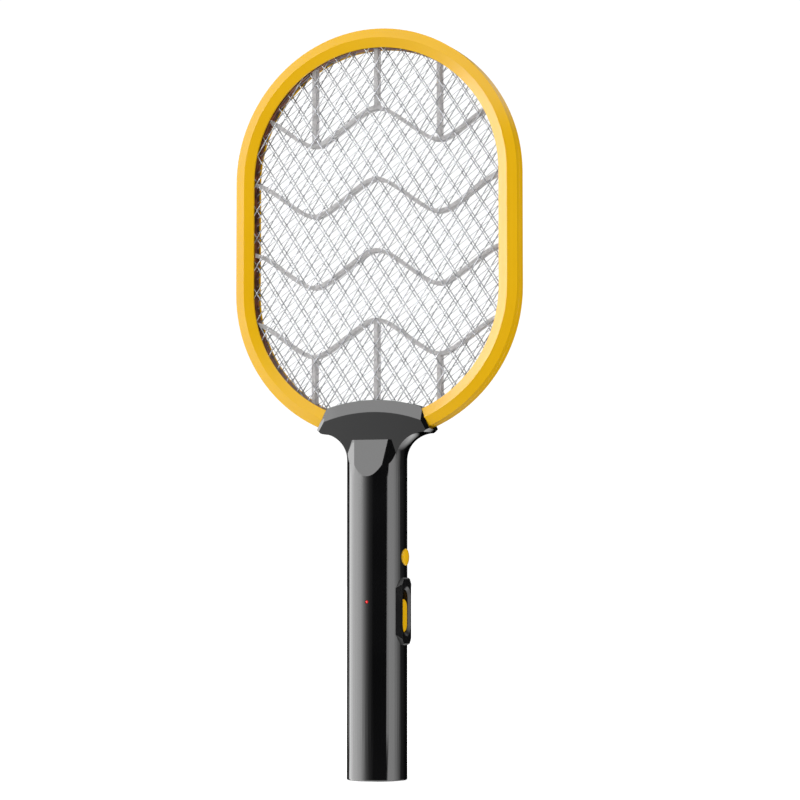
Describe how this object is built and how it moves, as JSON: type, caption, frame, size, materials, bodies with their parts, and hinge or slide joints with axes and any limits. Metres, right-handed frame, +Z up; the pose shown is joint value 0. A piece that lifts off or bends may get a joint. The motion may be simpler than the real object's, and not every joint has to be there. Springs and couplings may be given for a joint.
{
  "type": "electric fly swatter",
  "caption": "Battery-powered electric fly swatter: stadium-shaped yellow rim with wire meshes and a wavy web, black collar and tube handle with a push button and a slide switch.",
  "frame": {"origin": "centre of the handle's flat base", "axes": "+Z up along the handle towards the racket, -Y the front with the lamp, +X the side with the switches"},
  "size_m": [0.1906, 0.0383, 0.4775],
  "materials": {
    "yellow_abs": "glossy moulded ABS",
    "black_abs": "glossy moulded ABS",
    "brown_insulator": "dark moulded insulator",
    "grey_web": "light grey moulded web",
    "mesh_steel": "galvanised wire",
    "spring_steel": "drawn spring wire",
    "plated_steel": "nickel-plated steel",
    "ivory_nylon": "moulded nylon",
    "black_nylon": "moulded nylon",
    "red_led": "red tinted epoxy lens",
    "pcb_green": "solder-masked glass epoxy board",
    "ferrite": "sintered ferrite",
    "copper_winding": "enamelled copper wire",
    "capacitor_orange": "dipped epoxy",
    "capacitor_blue": "dipped epoxy",
    "black_epoxy": "moulded epoxy",
    "resistor_tan": "lacquered body",
    "cell_jacket": "plain printed steel can",
    "red_pvc": "PVC sleeve",
    "black_pvc": "PVC sleeve"
  },
  "bodies": {
    "swatter": {"front_frame": "yellow_abs", "rear_frame": "yellow_abs", "insulator_ring": "brown_insulator", "front_mesh": "mesh_steel", "rear_mesh": "mesh_steel", "centre_grid": "mesh_steel", "grid_bus_wire": "mesh_steel", "front_web": "grey_web", "rear_web": "grey_web", "front_housing": "black_abs", "rear_housing": "black_abs", "button_spring": "spring_steel", "push_switch_body": "black_nylon", "switch_bezel": "black_abs", "slide_switch_body": "plated_steel", "led_lens": "red_led", "led_legs": "plated_steel", "main_pcb": "pcb_green", "transformer_core": "ferrite", "transformer_winding": "copper_winding", "hv_capacitor": "capacitor_orange", "multiplier_capacitors": "capacitor_blue", "multiplier_diodes": "black_epoxy", "resistors": "resistor_tan", "transistor": "black_epoxy", "battery_cell_left": "cell_jacket", "battery_cell_right": "cell_jacket", "battery_springs": "spring_steel", "battery_contacts": "plated_steel", "battery_bridge": "plated_steel", "battery_leads": "red_pvc", "grid_lead": "red_pvc", "mesh_lead": "black_pvc", "mesh_bridge": "plated_steel", "housing_screws": "plated_steel"},
    "button": {"push_button": "yellow_abs", "button_plunger": "ivory_nylon"},
    "slider": {"switch_slider": "yellow_abs", "switch_lever": "ivory_nylon"},
    "door": {"battery_door": "black_abs"}
  },
  "joints": [
    {"name": "button_press", "type": "slide", "parent": "swatter", "child": "button", "axis": [-1, 0, 0], "range_m": [0, 0.0015], "stiffness_N_per_m": 600, "springref_m": -0.0008, "deforming": ["button_spring"]},
    {"name": "slider_travel", "type": "slide", "parent": "swatter", "child": "slider", "axis": [0, 0, 1], "range_m": [0, 0.0055]},
    {"name": "door_slide", "type": "slide", "parent": "swatter", "child": "door", "axis": [0, 0, -1], "range_m": [0, 0.074]}
  ]
}
